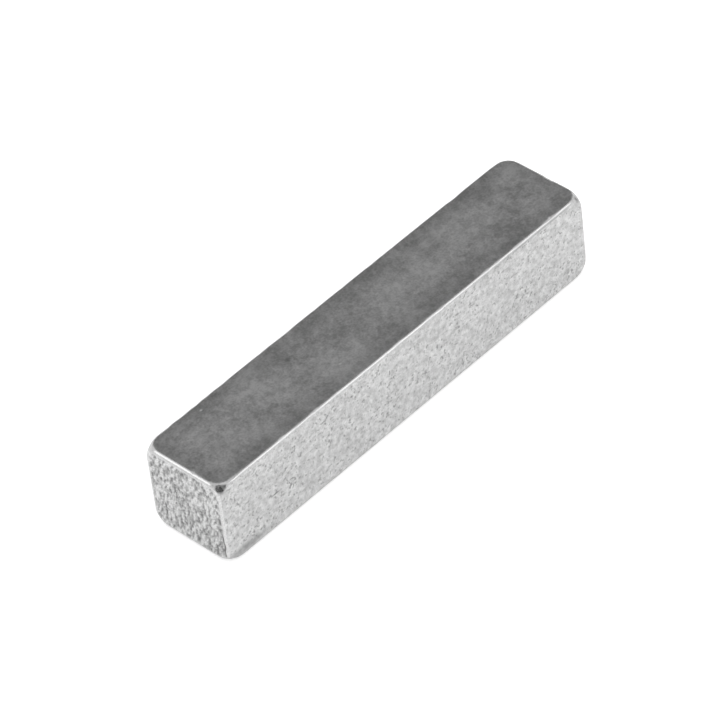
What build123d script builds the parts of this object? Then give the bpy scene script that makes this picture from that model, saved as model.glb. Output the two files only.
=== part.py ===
from build123d import *
import os
from math import copysign, sqrt

# Parallel key with square ends: a short length of drawn square key steel, cut off at both
# ends and tumbled, so that every edge is rounded and every corner is worn back further.
#
# It lies on the face that beds in a shaft's keyseat. The origin is the middle of that face,
# +X runs along the key, +Z points out of the keyseat, and the two drive faces look along
# +Y and -Y. Millimetres.

# Driving dimensions
KEY_WIDTH = 7.0  # from one drive face to the other
KEY_HEIGHT = 7.0  # from the bed face to the top face
KEY_LENGTH = 36.0  # over the two cut ends
LONG_EDGE_RADIUS = 0.28  # drawn onto the four long edges of the bar
END_EDGE_RADIUS = 0.34  # tumbled onto the edges of each cut end
CORNER_WEAR = 0.32  # how much deeper a corner is worn than its edges alone would leave it
CORNER_BLEND = 0.18  # radius that softens the rim of each worn corner

# Where three equal roundings meet, the metal lies this many radii below the sharp corner.
ROUNDED_CORNER_DEPTH = sqrt(3) - 1

edge_radius = max(LONG_EDGE_RADIUS, END_EDGE_RADIUS)
corner_depth = ROUNDED_CORNER_DEPTH * edge_radius + CORNER_WEAR


def worn_plane(corner, middle):
    """The plane that a corner is worn down to, square to the diagonal through it."""
    diagonal = Vector(*(copysign(1, side) for side in corner - middle)).normalized()
    return Plane(corner - diagonal * corner_depth, z_dir=diagonal)


def flats_square_to(part, *axes):
    """The flat faces that look along one of the axes, either way."""
    flats = part.faces().filter_by(GeomType.PLANE)
    return ShapeList(flat for axis in axes for flat in flats.filter_by(axis))


with BuildPart() as key_bar:
    # The drawn bar, cut to length
    with BuildSketch(Plane.YZ.offset(-KEY_LENGTH / 2)):
        Rectangle(KEY_WIDTH, KEY_HEIGHT, align=(Align.CENTER, Align.MIN))
    extrude(amount=KEY_LENGTH)

    # The eight corners, each worn down to a small flat
    middle = key_bar.part.center()
    for corner in key_bar.vertices():
        split(bisect_by=worn_plane(corner.center(), middle), keep=Keep.BOTTOM)

    # The long edges, then the edges of the cut ends, each running out at the worn corners
    fillet(key_bar.edges().filter_by(Axis.X), LONG_EDGE_RADIUS)
    end_edges = key_bar.edges().filter_by(Axis.Y) + key_bar.edges().filter_by(Axis.Z)
    fillet(end_edges, END_EDGE_RADIUS)

    # The rim of each worn corner, which blends it into the three faces and edges round it
    every_flat = key_bar.faces().filter_by(GeomType.PLANE)
    worn_flats = every_flat - flats_square_to(key_bar, Axis.X, Axis.Y, Axis.Z)
    fillet(worn_flats.edges(), CORNER_BLEND)

key_bar.part.label = "key_bar"

os.makedirs("parts", exist_ok=True)
export_step(key_bar.part, "parts/key_bar.step")
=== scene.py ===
import math

import bpy
import numpy as np
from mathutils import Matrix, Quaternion, Vector, noise


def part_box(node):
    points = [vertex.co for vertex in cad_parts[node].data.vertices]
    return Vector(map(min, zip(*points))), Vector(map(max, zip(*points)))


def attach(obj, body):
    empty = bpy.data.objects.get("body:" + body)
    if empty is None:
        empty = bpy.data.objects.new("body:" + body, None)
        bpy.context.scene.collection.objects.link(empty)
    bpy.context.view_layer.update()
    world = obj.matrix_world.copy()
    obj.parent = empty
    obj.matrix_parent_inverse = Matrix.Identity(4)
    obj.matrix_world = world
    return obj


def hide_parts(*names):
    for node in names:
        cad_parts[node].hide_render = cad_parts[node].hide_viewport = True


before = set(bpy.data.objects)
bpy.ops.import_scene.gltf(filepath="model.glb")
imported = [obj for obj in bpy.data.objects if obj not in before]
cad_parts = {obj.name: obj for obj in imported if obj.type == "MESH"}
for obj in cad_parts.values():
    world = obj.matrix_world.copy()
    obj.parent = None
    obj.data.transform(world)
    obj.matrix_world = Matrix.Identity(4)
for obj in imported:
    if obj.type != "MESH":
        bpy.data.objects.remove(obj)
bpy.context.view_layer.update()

# Lengths are in millimetres, as on a drawing of the key; MM turns them into metres.
MM = 0.001
LOW, HIGH = (np.array(corner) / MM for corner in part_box("key_bar"))

# Edges of the tumbled bar
LONG_EDGE_RADIUS = 0.28
END_EDGE_RADIUS = 0.34
END_BLEND = (1.4, 0.3)  # from an end, where the end's radius has faded out and where it is full

# Corners of the tumbled bar
CORNER_RADIUS = 0.50
CORNER_BLEND = (1.0, 0.20)  # from a corner, where its radius has faded out and where it is full
CORNER_DEPTH = 0.52  # from a sharp corner down to the flat that tumbling wore onto it
CORNER_SOFTNESS = 0.10

# The grid that carries the surface: fine over the edges, coarser along the bar
EDGE_ZONE = 0.84
FINE_STEP = 0.06
ACROSS_STEP = 0.062
ALONG_STEP = 0.34

# The rough cut of the ends: leaning streaks, with finer tears in them and broad deeper
# patches. Each size is across and along the streaks.
STREAK_LEAN = math.radians(17)
STREAK_SIZE = (0.17, 0.40)
TEAR_SIZE = (0.12, 0.16)
PATCH_SIZE = (1.6, 2.2)
WANDER_SIZE = (0.9, 1.3)
WANDER = 0.12  # how far the streaks stray sideways
TORN_LEVEL = 0.40  # the share of full depth that the three patterns work up and down from
STREAK_SHARE = 0.85
TEAR_SHARE = 0.55
PATCH_SHARE = 0.15
ROUGH_DEPTH = 0.06
RUBBED_BORDER = (0.20, 0.45)  # from an end's edges, where it is rubbed smooth and where rough
RUBBED_CORNER = (0.50, 1.15)  # the same from its corners

# The lip of metal that the cut folded over, beside the front edge of the near end
LIP_OFFSET = 0.43
LIP_WAVES = ((0.05, 2.9), (0.03, 7.1))  # height and pace of the two waves in its line
LIP_SPAN = (0.35, 3.2)
LIP_FADE = (0.3, 0.9)  # how gently it starts at the bottom and ends at the top
LIP_STEP = (0.08, -0.02)  # past its line, where the lip ends and where it is whole
LIP_SMOOTHING = 0.85  # the share of the tears that the lip covers
# The crevice's dark line is painted shade, laid into the colour
CREVICE_WIDTH = 0.085
CREVICE_DEPTH = 0.10

# The fine broken seam that the drawing die left under the top front edge, to the far end
# Its dark line is painted shade, laid into the colour along the groove
SEAM_DROP = 0.19
SEAM_SPAN = (3.0, 16.9)
SEAM_FADE = (7.0, 0.6)
SEAM_BREAK_LENGTH = 0.7
SEAM_WIDTH = 0.05
SEAM_DEPTH = 0.03

SEAM_LEVEL = 0.65  # the share of full depth that its breaks work up and down from
SEAM_BREAKS = 0.6

# A small chip in the far top corner, darkened with painted shade
CHIP_PLACE = (HIGH[0] - 0.35, LOW[1] + 0.20, HIGH[2] - 0.28)
CHIP_SIZE = 0.32
CHIP_DEPTH = 0.08

# Dents and burnish of the edges
DENT_LENGTH = 0.8
SMALL_DENT_LENGTH = 0.25
SMALL_DENT_SHARE = 0.5
DENT_DEPTH = 0.045
DENTED_FROM = 0.3  # the burnish from which a point counts as part of an edge
EDGE_TURN = 0.05  # the normal's lean, as 1 less its cosine, at which an edge is fully burnished
UPRIGHT_BURNISH = 0.15  # the share of it that the upright edges keep
UPRIGHT_BLEND = (0.05, 0.35)
BURNISH_LEVEL = 0.85  # the burnish that dents take away from and bumps add to
BURNISH_LOSS = 0.5
LEAST_BURNISH = 0.4

RIM = (2.2, 0.25)  # from the top's edges, where its skin starts to darken and where it is darkest

# How squarely a point has to face along an axis to belong to a side, from 0 to 1
END_FACING = 0.7
CREVICE_FACING = (0.7, 0.95)
SIDE_FACING = 0.8
BED_FACING = -0.5

SEED_STEP = 31.7  # how far apart two seeds sample the same noise

# How dark painted shade makes the steel in each kind of hollow, from 0 to 1
TORN_SHADE = 0.85
SEAM_SHADE = 0.8
CHIP_SHADE = 0.9


# ---------------------------------------------------------------- shape of the key

def smooth_step(values, start, end):
    """0 before start and 1 after end, easing in between; start may be the larger."""
    share = np.clip((values - start) / (end - start), 0.0, 1.0)
    return share * share * (3 - 2 * share)


def lumps(points, size, seed):
    """Smooth noise of about -1 to 1, with lumps about one size across along each axis."""
    scaled = points / np.array(size) + SEED_STEP * seed
    return np.array([noise.noise(Vector(place)) for place in scaled])


def grid_lines(low, high, coarse):
    """Places of the grid lines from low to high, close together in the zone beside each end."""
    fine = np.linspace(0, EDGE_ZONE, round(EDGE_ZONE / FINE_STEP) + 1)
    middle = np.linspace(low + EDGE_ZONE, high - EDGE_ZONE,
                         math.ceil((high - low - 2 * EDGE_ZONE) / coarse) + 1)
    return np.concatenate([low + fine[:-1], middle, high - fine[-2::-1]])


def sharp_shell():
    """The surface of the sharp bar as a closed grid: its points, its quads and each quad's
    axis, which is 0 on the ends, 1 on the drive faces and 2 on the top and the bed."""
    lines = [grid_lines(LOW[axis], HIGH[axis], step)
             for axis, step in enumerate((ALONG_STEP, ACROSS_STEP, ACROSS_STEP))]
    shell = np.ones([len(line) for line in lines], bool)
    shell[1:-1, 1:-1, 1:-1] = False
    index = np.full(shell.shape, -1)
    index[shell] = np.arange(shell.sum())
    points = np.stack(np.meshgrid(*lines, indexing="ij"), -1)[shell]

    quads, axes = [], []
    for axis in range(3):
        for end in (0, -1):
            sheet = np.take(index, end, axis)
            ring = [sheet[:-1, :-1], sheet[1:, :-1], sheet[1:, 1:], sheet[:-1, 1:]]
            loops = np.stack(ring, -1).reshape(-1, 4)
            outward = (end == -1) != (axis == 1)
            quads.append(loops if outward else loops[:, ::-1])
            axes.append(np.full(len(loops), axis))
    return points, np.concatenate(quads), np.concatenate(axes)


def inset_from_box(points):
    """How far each point lies inside the nearer of the box's two sides, along each axis."""
    return np.minimum(points - LOW, HIGH - points)


def rounded(points):
    """Moves the sharp bar's points onto its rounded form, and gives each one's outward normal."""
    inset = inset_from_box(points)
    at_end = smooth_step(inset[:, 0], *END_BLEND)
    radius = LONG_EDGE_RADIUS + (END_EDGE_RADIUS - LONG_EDGE_RADIUS) * at_end
    at_corner = smooth_step(np.linalg.norm(inset, axis=1), *CORNER_BLEND)
    radius = (radius + (CORNER_RADIUS - radius) * at_corner)[:, None]
    core = np.clip(points, LOW + radius, HIGH - radius)
    normals = points - core
    normals /= np.linalg.norm(normals, axis=1)[:, None]
    return core + radius * normals, normals


def flattened_corners(points):
    """Moves the points near each corner back to a softly bounded flat, square to its diagonal."""
    outward = np.where(points * 2 > LOW + HIGH, 1, -1) / math.sqrt(3)
    corners = np.where(outward > 0, HIGH, LOW)
    depth = ((corners - points) * outward).sum(axis=1)
    spare = (depth - CORNER_DEPTH) / CORNER_SOFTNESS
    wanted = CORNER_DEPTH + CORNER_SOFTNESS * np.logaddexp(0, spare)
    return points - outward * (wanted - depth)[:, None]


def unrubbed(sharp):
    """How far each point of an end is from where tumbling rubbed it: 0 rubbed, 1 still rough."""
    inset = inset_from_box(sharp)
    rough = smooth_step(inset[:, 1:].min(axis=1), *RUBBED_BORDER)
    return rough * smooth_step(np.linalg.norm(inset, axis=1), *RUBBED_CORNER)


def torn_metal(points):
    """How deep the blade tore each point of an end, from 0 on the ridges to 1 in the pits."""
    across = points[:, 1] * math.cos(STREAK_LEAN) + points[:, 2] * math.sin(STREAK_LEAN)
    along = points[:, 2] * math.cos(STREAK_LEAN) - points[:, 1] * math.sin(STREAK_LEAN)
    place = np.stack([across, along, np.sign(points[:, 0])], -1)
    place[:, 0] += WANDER * lumps(place, (*WANDER_SIZE, 1.0), seed=1)
    streaks = STREAK_SHARE * lumps(place, (*STREAK_SIZE, 1.0), seed=2)
    tears = TEAR_SHARE * lumps(place, (*TEAR_SIZE, 1.0), seed=3)
    patches = PATCH_SHARE * lumps(place, (*PATCH_SIZE, 1.0), seed=4)
    return np.clip(TORN_LEVEL - streaks - tears + patches, 0.0, 1.0)


def folded_lip(points):
    """Two shares at each point of the near end: the crevice under the lip, and the lip itself."""
    line = LOW[1] + LIP_OFFSET
    for height, pace in LIP_WAVES:
        line = line + height * np.sin(points[:, 2] * pace)
    crevice = np.exp(-(((points[:, 1] - line) / CREVICE_WIDTH) ** 2))
    covered = smooth_step(points[:, 1], line + LIP_STEP[0], line + LIP_STEP[1])
    reach = smooth_step(points[:, 2], LIP_SPAN[0], LIP_SPAN[0] + LIP_FADE[0])
    reach *= smooth_step(points[:, 2], LIP_SPAN[1], LIP_SPAN[1] - LIP_FADE[1])
    reach *= points[:, 0] < 0
    return crevice * reach, covered * reach


def die_seam(points):
    """The seam below the top front edge, from 0 to 1."""
    drop = (HIGH[2] - SEAM_DROP - points[:, 2]) / SEAM_WIDTH
    reach = smooth_step(points[:, 0], SEAM_SPAN[0], SEAM_SPAN[0] + SEAM_FADE[0])
    reach *= smooth_step(points[:, 0], SEAM_SPAN[1], SEAM_SPAN[1] - SEAM_FADE[1])
    breaks = lumps(points * (1, 0, 0), (SEAM_BREAK_LENGTH, 1, 1), seed=6)
    whole = np.clip(SEAM_LEVEL + SEAM_BREAKS * breaks, 0.0, 1.0)
    return np.exp(-(drop ** 2)) * reach * whole * (points[:, 1] < 0)


def rubbed_edges(points, normals):
    """How burnished each point is and how deeply it is dented, from 0 to 1. Only the edges are
    either, and the edges round the bed, which it stands on, aren't dented."""
    facing = np.abs(normals)
    burnish = np.clip((1 - facing.max(axis=1)) / EDGE_TURN, 0.0, 1.0)
    tilted = smooth_step(facing[:, 2], *UPRIGHT_BLEND)
    burnish *= UPRIGHT_BURNISH + (1 - UPRIGHT_BURNISH) * tilted
    on_edge = burnish > DENTED_FROM
    off_bed = normals[:, 2] >= BED_FACING
    dents = lumps(points, (DENT_LENGTH,) * 3, seed=7)
    dents += SMALL_DENT_SHARE * lumps(points, (SMALL_DENT_LENGTH,) * 3, seed=8)
    kept = np.clip(BURNISH_LEVEL - BURNISH_LOSS * dents, LEAST_BURNISH, 1.0)
    burnish[on_edge] *= kept[on_edge]
    return burnish, np.clip(dents, 0.0, 1.0) * on_edge * off_bed


def key_surface():
    """The finished surface: its points, its quads, each quad's axis, and for each point how
    burnished it is, how dark the painted shade of its hollow is, and how near the rim of its face."""
    sharp, quads, axes = sharp_shell()
    points, normals = rounded(sharp)
    points = flattened_corners(points)
    facing = np.abs(normals)

    crevice, covered = folded_lip(points)
    crevice *= smooth_step(facing[:, 0], *CREVICE_FACING)
    torn = torn_metal(points) * unrubbed(sharp) * (1 - LIP_SMOOTHING * covered)
    torn *= facing[:, 0] > END_FACING
    seam = die_seam(points) * (facing[:, 1] > SIDE_FACING)
    chip = np.exp(-((np.linalg.norm(points - CHIP_PLACE, axis=1) / CHIP_SIZE) ** 2))
    burnish, dents = rubbed_edges(points, normals)

    depth = ROUGH_DEPTH * torn + CREVICE_DEPTH * crevice + SEAM_DEPTH * seam
    depth += CHIP_DEPTH * chip + DENT_DEPTH * dents
    # The hollows' darkness is painted shade laid into the colour: torn pits, crevice, seam and chip
    hollow_shade = np.max([TORN_SHADE * torn, crevice, SEAM_SHADE * seam, CHIP_SHADE * chip], axis=0)
    rim = smooth_step(inset_from_box(sharp)[:, :2].min(axis=1), *RIM)
    masks = {"burnish": burnish * (1 - hollow_shade), "hollow_shade": hollow_shade, "rim": rim}
    return points - normals * depth[:, None], quads, axes, masks


def make_key(materials):
    """The key as one closed mesh, with one material for each axis of its faces."""
    points, quads, axes, masks = key_surface()
    mesh = bpy.data.meshes.new("parallel_key")
    mesh.from_pydata((points * MM).tolist(), [], quads.tolist())
    for material in materials:
        mesh.materials.append(material)
    mesh.polygons.foreach_set("material_index", axes.astype(np.int32))
    mesh.polygons.foreach_set("use_smooth", np.ones(len(quads), bool))
    for name, values in masks.items():
        layer = mesh.attributes.new(name, "FLOAT", "POINT")
        layer.data.foreach_set("value", values.astype(np.float32))
    mesh.update()
    key = bpy.data.objects.new("parallel_key", mesh)
    bpy.context.scene.collection.objects.link(key)
    return key


# ---------------------------------------------------------------- nodes

# Places of the Mix node's sockets, whose names repeat
SHARE = 0
NUMBER_A = 2
NUMBER_B = 3
COLOUR_A = 6
COLOUR_B = 7

MARK_BLEND = (1.0, 0.3)  # from a mark's centre, as shares of its size: where it ends, and is full


def linear(hex_colour):
    """An sRGB hex colour as the linear RGBA that Blender's sockets take."""
    channels = [int(hex_colour[place:place + 2], 16) / 255 for place in (1, 3, 5)]
    return (*((c / 12.92 if c <= 0.04045 else ((c + 0.055) / 1.055) ** 2.4) for c in channels), 1.0)


def add(tree, kind, inputs=(), output=None, **settings):
    """Adds a shader node with its settings. Inputs maps a socket's name or place to a plain
    value or to the output that feeds it. Gives the named output, or else the first in use."""
    made = tree.nodes.new("ShaderNode" + kind)
    for name, value in settings.items():
        setattr(made, name, value)
    for name, value in dict(inputs).items():
        if isinstance(value, bpy.types.NodeSocket):
            tree.links.new(value, made.inputs[name])
        else:
            made.inputs[name].default_value = value
    if output:
        return made.outputs[output]
    return next((found for found in made.outputs if found.enabled), None)


def new_tree(name):
    """A material with an empty node tree, and that tree."""
    material = bpy.data.materials.new(name)
    material.use_nodes = True
    material.node_tree.nodes.clear()
    return material, material.node_tree


def millimetres(tree, stretch=(1, 1, 1)):
    """Object coordinates in millimetres, drawn out along an axis by its stretch."""
    place = add(tree, "TexCoord", output="Object")
    scale = [1 / (MM * along) for along in stretch]
    return add(tree, "Mapping", {"Vector": place, "Scale": scale})


def weighed(tree, *shares):
    """The sum of several values, each given with its weight."""
    total = 0.0
    for value, weight in shares:
        part = add(tree, "Math", {0: value, 1: weight}, operation="MULTIPLY")
        total = add(tree, "Math", {0: part, 1: total}, operation="ADD")
    return total


def strongest(tree, *shares):
    """The largest of several values, each given with its weight."""
    largest = 0.0
    for value, weight in shares:
        part = add(tree, "Math", {0: value, 1: weight}, operation="MULTIPLY")
        largest = add(tree, "Math", {0: part, 1: largest}, operation="MAXIMUM")
    return largest


def layered(tree, layers):
    """Layers of noise, each given as its lumps' size, its detail and its weight: the noises one
    by one, and their weighed sum."""
    place = millimetres(tree)
    noises = [add(tree, "TexNoise", {"Vector": place, "Scale": 1 / size, "Detail": detail})
              for size, detail, weight in layers]
    return noises, weighed(tree, *((found, layer[2]) for found, layer in zip(noises, layers)))


def specks(tree, place, size, window, *gathering):
    """Scattered specks, from 0 to 1, where plain noise rises through the window. What gathers
    them is a value with its weight, which lifts the noise."""
    plain = add(tree, "TexNoise", {"Vector": place, "Scale": 1 / size, "Detail": SPECK_DETAIL})
    level = weighed(tree, (plain, 1.0), *gathering)
    return add(tree, "MapRange", {"Value": level, "From Min": window[0], "From Max": window[1]})


def spot(tree, centre, half_size):
    """1 in the middle of a mark and 0 at its rim."""
    place = add(tree, "VectorMath", {0: millimetres(tree), 1: centre}, operation="SUBTRACT")
    share = add(tree, "VectorMath", {0: place, 1: half_size}, operation="DIVIDE")
    distance = add(tree, "VectorMath", {0: share}, output="Value", operation="LENGTH")
    return add(tree, "MapRange", {
        "Value": distance, "From Min": MARK_BLEND[0], "From Max": MARK_BLEND[1]})


def toned(tree, pattern, window, dark, light):
    """A grey that goes from dark to light as the pattern rises through its window."""
    share = add(tree, "MapRange", {"Value": pattern, "From Min": window[0], "From Max": window[1]})
    greys = {SHARE: share, COLOUR_A: linear(dark), COLOUR_B: linear(light)}
    return add(tree, "Mix", greys, data_type="RGBA")


def stain_and_shade(tree, colour, share, weight, grey):
    """The colour, turned to the grey where the share says, as far as the weight allows."""
    reach = add(tree, "Math", {0: share, 1: weight}, operation="MULTIPLY")
    greys = {SHARE: reach, COLOUR_A: colour, COLOUR_B: linear(grey)}
    return add(tree, "Mix", greys, data_type="RGBA")


# ---------------------------------------------------------------- steel

# Greys of bare steel, from its pits, whose grey also serves for painted shade, to the brightest
# fleck
PIT_AND_SHADE_GREY = "#606060"
SHADED = "#B2B2B2"
BURNISHED = "#C0C0C0"
CUT_SHADED = "#C4C4C4"
SHINING = "#E8E8E8"
CUT_SHINING = "#EEEEEE"
FLECK = "#F4F4F4"

# Layers of noise: the size of the lumps, their detail and the layer's weight. Clouds come first,
# then mottle, then grain. Real grain is finer still and wouldn't show, so it is drawn this coarse.
TOP_LAYERS = ((2.6, 2.0, 0.40), (0.45, 2.0, 0.30), (0.15, 2.0, 0.30))
SIDE_LAYERS = ((1.8, 2.0, 0.18), (0.40, 2.0, 0.47), (0.16, 3.0, 0.35))
END_LAYERS = ((0.09, 3.0, 1.0),)
TOP_WINDOW = (0.38, 0.62)  # the levels of the sum at which the steel is shaded and shining
SIDE_WINDOW = (0.35, 0.65)
GRAIN_WINDOW = (0.3, 0.7)

# Roughness from the grain's lows to its highs, or from an end's ridges to its pits
TOP_ROUGHNESS = (0.36, 0.46)
SIDE_ROUGHNESS = (0.34, 0.46)
END_ROUGHNESS = (0.38, 0.60)
BURNISHED_ROUGHNESS = 0.25

# How high the grain stands
TOP_BUMP = 0.002
SIDE_BUMP = 0.006
END_BUMP = 0.010

# Pits and lengthwise die marks of the drive faces
SPECK_DETAIL = 1.0
PIT_SIZE = 0.20
PIT_CLOUDING = 0.25  # the share of the clouds that gathers the pits into drifts
PIT_WINDOW = (0.69, 0.87)
PIT_SHADE = 0.65
DIE_MARK_WIDTH = 0.13
DIE_MARK_STRETCH = (5, 1, 1)
DIE_MARK_WINDOW = (0.63, 0.78)
DIE_MARK_SHADE = 0.4

# Single marks: the place of each, and its half sizes along, across and up
TOP_PIT = ((-6.3, 1.4, HIGH[2]), (0.26, 0.26, 0.1))
TOP_PIT_SHADE = 0.35
TOP_FLECKS = ((-13.3, 2.7, HIGH[2]), (-4.45, -1.65, HIGH[2]), (14.8, -3.25, HIGH[2]))
FLECK_SIZE = (0.17, 0.12, 0.2)
SIDE_SCRATCH = ((-13.25, LOW[1], 3.0), (0.5, 0.2, 0.06))
# Painted shade low on the front drive face by the near end, standing in for the floor's shadow that
# the steel mirrors there
SIDE_FOOT_SHADE = ((-16.5, LOW[1], 0.6), (3.2, 0.5, 0.5))
FOOT_SHADE_WEIGHT = 0.45
RIM_SHADE = 0.20
# How far painted shade darkens the pits and the crevice of the ends
END_HOLLOW_SHADE = 0.95


def finish_steel(tree, colour, roughness, height, bump_depth):
    """Bare steel, rubbed even and smooth where the mesh is burnished, and bumped by height."""
    burnish = add(tree, "Attribute", output="Fac", attribute_name="burnish")
    colour = stain_and_shade(tree, colour, burnish, 1.0, BURNISHED)
    roughness = add(tree, "Mix", {
        SHARE: burnish, NUMBER_A: roughness, NUMBER_B: BURNISHED_ROUGHNESS})
    normal = add(tree, "Bump", {"Height": height, "Strength": 1.0, "Distance": bump_depth * MM})
    steel = add(tree, "BsdfPrincipled", {
        "Base Color": colour, "Metallic": 1.0, "Roughness": roughness, "Normal": normal})
    add(tree, "OutputMaterial", {"Surface": steel})


def satin_drawn_steel():
    """Cold-drawn steel with a tumbled satin skin: soft grey, faintly clouded, finely grained."""
    material, tree = new_tree("satin_drawn_steel")
    (clouds, mottle, grain), tone = layered(tree, TOP_LAYERS)
    colour = toned(tree, tone, TOP_WINDOW, SHADED, SHINING)
    rim = add(tree, "Attribute", output="Fac", attribute_name="rim")
    hollow_shade = add(tree, "Attribute", output="Fac", attribute_name="hollow_shade")
    colour = stain_and_shade(tree, colour, rim, RIM_SHADE, PIT_AND_SHADE_GREY)
    # Painted shade in the hollows, such as the chip
    colour = stain_and_shade(tree, colour, hollow_shade, 1.0, PIT_AND_SHADE_GREY)
    colour = stain_and_shade(tree, colour, spot(tree, *TOP_PIT), TOP_PIT_SHADE, PIT_AND_SHADE_GREY)
    for centre in TOP_FLECKS:
        colour = stain_and_shade(tree, colour, spot(tree, centre, FLECK_SIZE), 1.0, FLECK)
    roughness = add(tree, "MapRange", {
        "Value": grain, "From Min": GRAIN_WINDOW[0], "From Max": GRAIN_WINDOW[1],
        "To Min": TOP_ROUGHNESS[0], "To Max": TOP_ROUGHNESS[1]})
    finish_steel(tree, colour, roughness, grain, TOP_BUMP)
    return material


def drive_face_marks(tree, clouds):
    """How marked a drive face is, from 0 to 1, by its pits, die marks and scratch, by painted
    shade in its seam and hollows, and by a painted shade near its foot.
    """
    pits = specks(tree, millimetres(tree), PIT_SIZE, PIT_WINDOW, (clouds, PIT_CLOUDING))
    drawn_out = millimetres(tree, DIE_MARK_STRETCH)
    die_marks = specks(tree, drawn_out, DIE_MARK_WIDTH, DIE_MARK_WINDOW)
    # Painted shade in the seam and the other hollows
    hollow_shade = add(tree, "Attribute", output="Fac", attribute_name="hollow_shade")
    # The last mark is the painted shade near the foot
    return strongest(tree, (pits, PIT_SHADE), (die_marks, DIE_MARK_SHADE), (hollow_shade, 1.0),
                     (spot(tree, *SIDE_SCRATCH), 1.0), (spot(tree, *SIDE_FOOT_SHADE), FOOT_SHADE_WEIGHT))


def pitted_drawn_steel():
    """The drive faces: bright drawn steel with small dark pits and short lengthwise die marks."""
    material, tree = new_tree("pitted_drawn_steel")
    (clouds, mottle, grain), tone = layered(tree, SIDE_LAYERS)
    marks = drive_face_marks(tree, clouds)
    colour = toned(tree, tone, SIDE_WINDOW, SHADED, SHINING)
    colour = stain_and_shade(tree, colour, marks, 1.0, PIT_AND_SHADE_GREY)
    roughness = add(tree, "MapRange", {
        "Value": grain, "From Min": GRAIN_WINDOW[0], "From Max": GRAIN_WINDOW[1],
        "To Min": SIDE_ROUGHNESS[0], "To Max": SIDE_ROUGHNESS[1]})
    height = add(tree, "Math", {0: grain, 1: marks}, operation="SUBTRACT")
    finish_steel(tree, colour, roughness, height, SIDE_BUMP)
    return material


def rough_cut_steel():
    """The cut ends: torn, streaked steel, bright on its ridges and darkened by painted shade in its
    pits.
    """
    material, tree = new_tree("rough_cut_steel")
    (grain,), tone = layered(tree, END_LAYERS)
    hollow_shade = add(tree, "Attribute", output="Fac", attribute_name="hollow_shade")
    colour = toned(tree, tone, GRAIN_WINDOW, CUT_SHADED, CUT_SHINING)
    # Painted shade in the torn pits and the crevice under the lip
    colour = stain_and_shade(tree, colour, hollow_shade, END_HOLLOW_SHADE, PIT_AND_SHADE_GREY)
    roughness = add(tree, "MapRange", {
        "Value": hollow_shade, "To Min": END_ROUGHNESS[0], "To Max": END_ROUGHNESS[1]})
    finish_steel(tree, colour, roughness, grain, END_BUMP)
    return material


# ---------------------------------------------------------------- studio

WHITE = (1, 1, 1, 1)
PAPER = "#EBEBEB"
FLOOR_SIZE = 4000
SEEN_LIFT = 0.45  # light added to the floor where the camera looks at it
MIRRORED_LIFT = 0.32  # and where the steel mirrors it
ROOM_LIGHT = 0.90
SOFT_BOX_DISTANCE = 380
SOFT_BOX_SIZE = 190
SOFT_BOX_POWER = 0.13
SOFT_BOXES = {"soft_box_front": (0.49, -0.68, 0.54), "soft_box_back": (-0.68, 0.54, 0.49)}
# The direction of each flag from the key, its distance, its width and its grey
FLAGS = {
    "top_flag": ((0.49, 0.54, 0.68), 420, 560, 0.225),
    "camera_flag": ((-0.63, -0.59, 0.50), 420, 330, 0.06),
}

CAMERA_TARGET = (-0.744, 0.450, 3.321)
CAMERA_DISTANCE = 325.7
CAMERA_AZIMUTH = math.radians(-42.284)
CAMERA_ELEVATION = math.radians(43.013)
CAMERA_ROLL = math.radians(-7.388)
CAMERA_LENS = 241.88
SENSOR_WIDTH = 36
NEAREST_SEEN = 10
FARTHEST_SEEN = 10000


def light_paths(tree):
    """Two shares for the kind of ray that arrives: the camera's own, and a mirrored or refracted
    one. Light that is only on its way to something has neither."""
    seen = add(tree, "LightPath", output="Is Camera Ray")
    glossy = add(tree, "LightPath", output="Is Glossy Ray")
    refracted = add(tree, "LightPath", output="Is Transmission Ray")
    return seen, add(tree, "Math", {0: glossy, 1: refracted}, operation="MAXIMUM")


def glow(name, strength):
    """A plain card that shows the same grey from everywhere."""
    material, tree = new_tree(name)
    light = add(tree, "Emission", {"Color": WHITE, "Strength": strength})
    add(tree, "OutputMaterial", {"Surface": light})
    return material


def white_sweep():
    """The pale floor: matt white paper that keeps the key's shadow and reads as white."""
    material, tree = new_tree("white_sweep")
    seen, mirrored = light_paths(tree)
    lift = weighed(tree, (seen, SEEN_LIFT), (mirrored, MIRRORED_LIFT))
    paper = add(tree, "BsdfDiffuse", {"Color": linear(PAPER)})
    glowing = add(tree, "Emission", {"Color": WHITE, "Strength": lift})
    both = add(tree, "AddShader", {0: paper, 1: glowing})
    add(tree, "OutputMaterial", {"Surface": both})
    return material


def square(name, size, material):
    """A square sheet that belongs to the studio, not to the key."""
    half = size / 2 * MM
    corners = [(x * half, y * half, 0) for x, y in ((-1, -1), (1, -1), (1, 1), (-1, 1))]
    mesh = bpy.data.meshes.new(name)
    mesh.from_pydata(corners, [], [(0, 1, 2, 3)])
    mesh.materials.append(material)
    sheet = bpy.data.objects.new(name, mesh)
    bpy.context.scene.collection.objects.link(sheet)
    return sheet


def face_key(thing, direction, distance):
    """Sets a lamp or a flag in this direction from the key, turned towards it."""
    towards = Vector(direction).normalized()
    thing.location = towards * distance * MM
    thing.rotation_mode = "QUATERNION"
    thing.rotation_quaternion = towards.to_track_quat("Z", "Y")


def soft_box(name, direction):
    """A square lamp with an even soft light."""
    lamp = bpy.data.lights.new(name, "AREA")
    lamp.shape = "SQUARE"
    lamp.size = SOFT_BOX_SIZE * MM
    lamp.energy = SOFT_BOX_POWER
    holder = bpy.data.objects.new(name, lamp)
    bpy.context.scene.collection.objects.link(holder)
    face_key(holder, direction, SOFT_BOX_DISTANCE)


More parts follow.
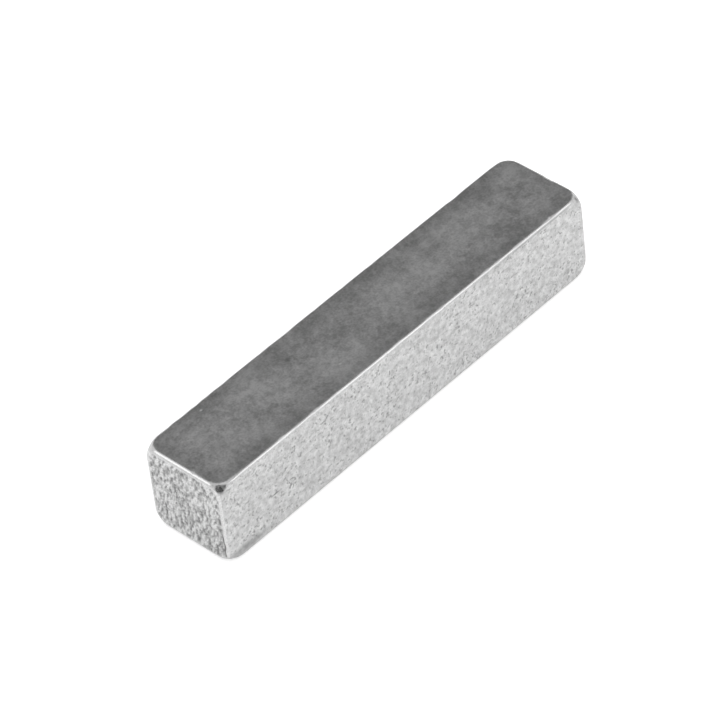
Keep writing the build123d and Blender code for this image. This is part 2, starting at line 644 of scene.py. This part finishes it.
def flag(name, direction, distance, size, grey):
    """A grey sheet that darkens what the steel mirrors from that side, and nothing else."""
    sheet = square(name, size, glow(name, grey))
    face_key(sheet, direction, distance)
    sheet.visible_camera = False
    sheet.visible_diffuse = False
    sheet.visible_shadow = False


def room():
    """White walls all round, as the camera and the steel see them, a little dimmer as a light."""
    world = bpy.data.worlds.new("room")
    world.use_nodes = True
    tree = world.node_tree
    tree.nodes.clear()
    seen, mirrored = light_paths(tree)
    looked_at = add(tree, "Math", {0: seen, 1: mirrored}, operation="MAXIMUM")
    level = add(tree, "MapRange", {"Value": looked_at, "To Min": ROOM_LIGHT, "To Max": 1.0})
    walls = add(tree, "Background", {"Color": WHITE, "Strength": level})
    add(tree, "OutputWorld", {"Surface": walls})
    bpy.context.scene.world = world


def camera():
    """A long lens looking down on the near end, the front drive face and the top."""
    lens = bpy.data.cameras.new("camera")
    lens.lens = CAMERA_LENS
    lens.sensor_width = SENSOR_WIDTH
    lens.clip_start = NEAREST_SEEN * MM
    lens.clip_end = FARTHEST_SEEN * MM
    flat = math.cos(CAMERA_ELEVATION)
    back = Vector((math.sin(CAMERA_AZIMUTH) * flat, -math.cos(CAMERA_AZIMUTH) * flat,
                   math.sin(CAMERA_ELEVATION)))
    viewer = bpy.data.objects.new("camera", lens)
    viewer.location = (Vector(CAMERA_TARGET) + back * CAMERA_DISTANCE) * MM
    viewer.rotation_mode = "QUATERNION"
    level = (-back).to_track_quat("-Z", "Y")
    viewer.rotation_quaternion = level @ Quaternion((0, 0, 1), CAMERA_ROLL)
    bpy.context.scene.collection.objects.link(viewer)
    bpy.context.scene.camera = viewer


# ---------------------------------------------------------------- scene

key = make_key([rough_cut_steel(), pitted_drawn_steel(), satin_drawn_steel()])
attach(key, "root")
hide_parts("key_bar")

square("floor", FLOOR_SIZE, white_sweep())
for box_name, direction in SOFT_BOXES.items():
    soft_box(box_name, direction)
for flag_name, placing in FLAGS.items():
    flag(flag_name, *placing)
room()
camera()
bpy.context.scene.view_settings.view_transform = "Standard"
